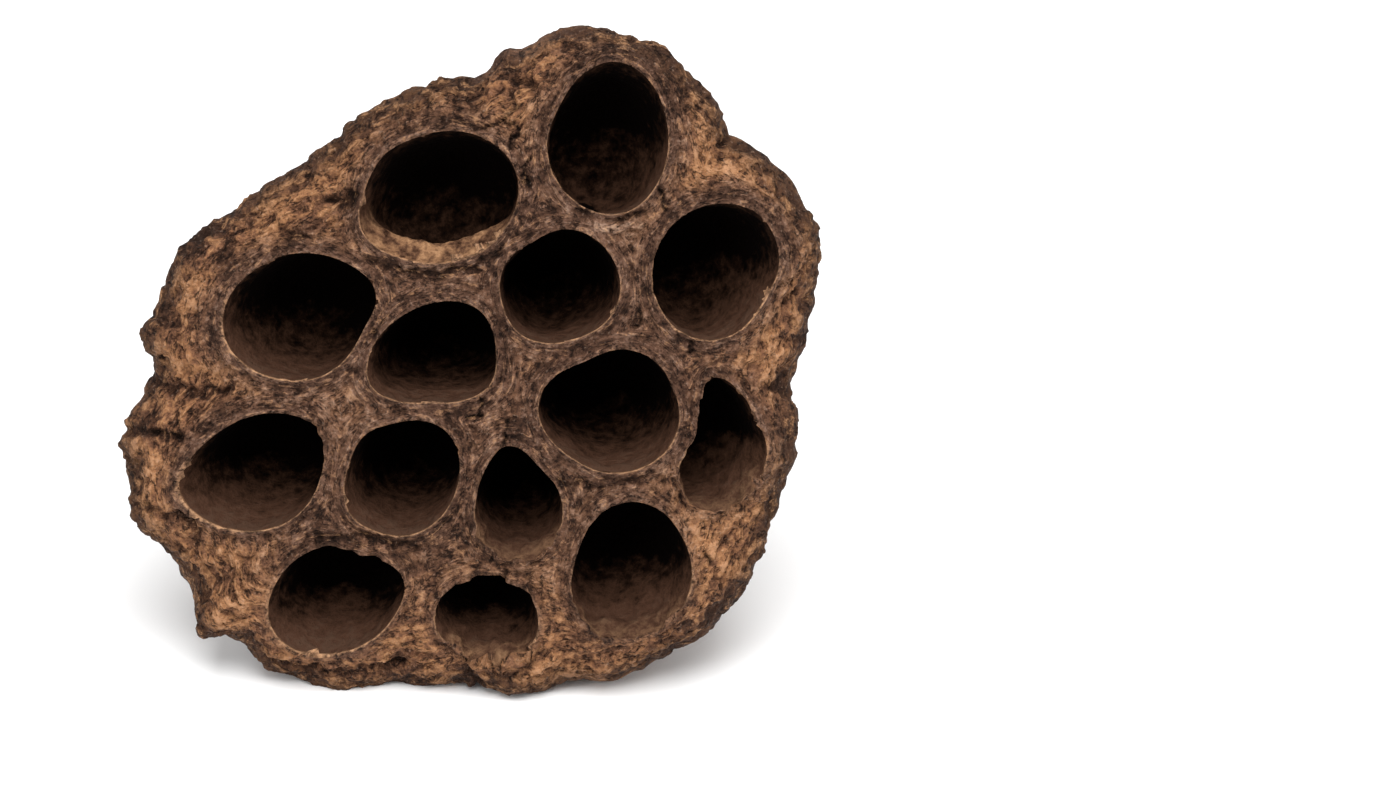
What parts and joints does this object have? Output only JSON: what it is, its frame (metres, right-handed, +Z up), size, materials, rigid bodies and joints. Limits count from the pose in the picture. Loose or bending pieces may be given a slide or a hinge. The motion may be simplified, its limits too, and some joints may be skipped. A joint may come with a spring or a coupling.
{
  "type": "dried lotus pod",
  "caption": "Dried lotus seed head: a broad face of empty round cells with raised lips, a ruffled rim, and a ribbed flank that gathers into a short bent stalk stump.",
  "frame": {"origin": "on the floor, under the middle of the pod's box", "axes": "+Z up, -Y out of the seed face, which leans back from upright; +X to the right as the face is seen"},
  "size_m": [0.08, 0.0552, 0.0745],
  "materials": {
    "dried_skin": "matt, fibrous and wrinkled, dark brown with tan scuffs"
  },
  "bodies": {
    "root": {"lotus_pod": "dried_skin"}
  },
  "joints": []
}
